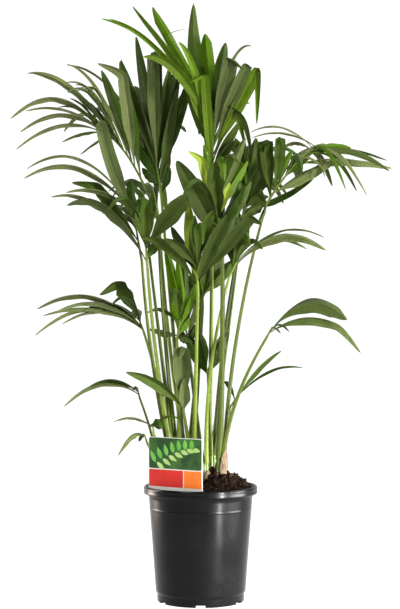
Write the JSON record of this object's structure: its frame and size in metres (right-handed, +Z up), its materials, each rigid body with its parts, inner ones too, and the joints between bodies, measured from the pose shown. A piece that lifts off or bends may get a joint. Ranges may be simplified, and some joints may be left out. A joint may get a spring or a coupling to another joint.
{
  "type": "kentia palm in nursery pot",
  "caption": "Clump of young kentia palms with arching feathered fronds on slim stalks, standing in a round tapered nursery pot with soil and a care card.",
  "frame": {"origin": "centre of the pot's flat underside", "axes": "+Z up along the pot's axis, -Y towards the front, where the care card stands, +X to the right"},
  "size_m": [0.7155, 0.5783, 1.1103],
  "materials": {
    "pot": "satin black moulded plastic",
    "soil": "clumpy dark potting soil",
    "card": "printed plastic card",
    "stem": "green leaf bases with tan papery sheaths",
    "stalk": "smooth green leaf stalks",
    "leaf": "satin green palm leaflets"
  },
  "bodies": {
    "root": {"pot": "pot", "soil": "soil", "care_card": "card", "stem_left": "stem", "stem_middle": "stem", "stem_pale": "stem", "stem_right": "stem", "stem_back_right": "stem", "stem_back_left": "stem", "stem_rim_left": "stem", "stalk_fan_left": "stalk", "stalk_dark_upright": "stalk", "stalk_top_centre": "stalk", "stalk_bright_centre": "stalk", "stalk_upper_right": "stalk", "stalk_mid_left": "stalk", "stalk_front_centre": "stalk", "stalk_inner_left": "stalk", "stalk_inner_back": "stalk", "stalk_mid_right": "stalk", "stalk_low_left": "stalk", "stalk_small_left": "stalk", "stalk_shoot_left": "stalk", "stalk_shoot_rim": "stalk", "stalk_low_centre": "stalk", "stalk_inner_right": "stalk", "stalk_low_right": "stalk", "stalk_small_right": "stalk", "stalk_behind_right": "stalk", "stalk_behind_left": "stalk", "stalk_behind_far_left": "stalk", "stalk_behind_centre": "stalk", "stalk_back_left": "stalk", "stalk_back_right": "stalk", "stalk_back_top": "stalk", "frond_fan_left": "leaf", "frond_dark_upright": "leaf", "frond_top_centre": "leaf", "frond_bright_centre": "leaf", "frond_upper_right": "leaf", "frond_mid_left": "leaf", "frond_front_centre": "leaf", "frond_inner_left": "leaf", "frond_inner_back": "leaf", "frond_mid_right": "leaf", "frond_low_left": "leaf", "frond_small_left": "leaf", "frond_shoot_left": "leaf", "frond_shoot_rim": "leaf", "frond_low_centre": "leaf", "frond_inner_right": "leaf", "frond_low_right": "leaf", "frond_small_right": "leaf", "frond_behind_right": "leaf", "frond_behind_left": "leaf", "frond_behind_far_left": "leaf", "frond_behind_centre": "leaf", "frond_back_left": "leaf", "frond_back_right": "leaf", "frond_back_top": "leaf"}
  },
  "joints": []
}
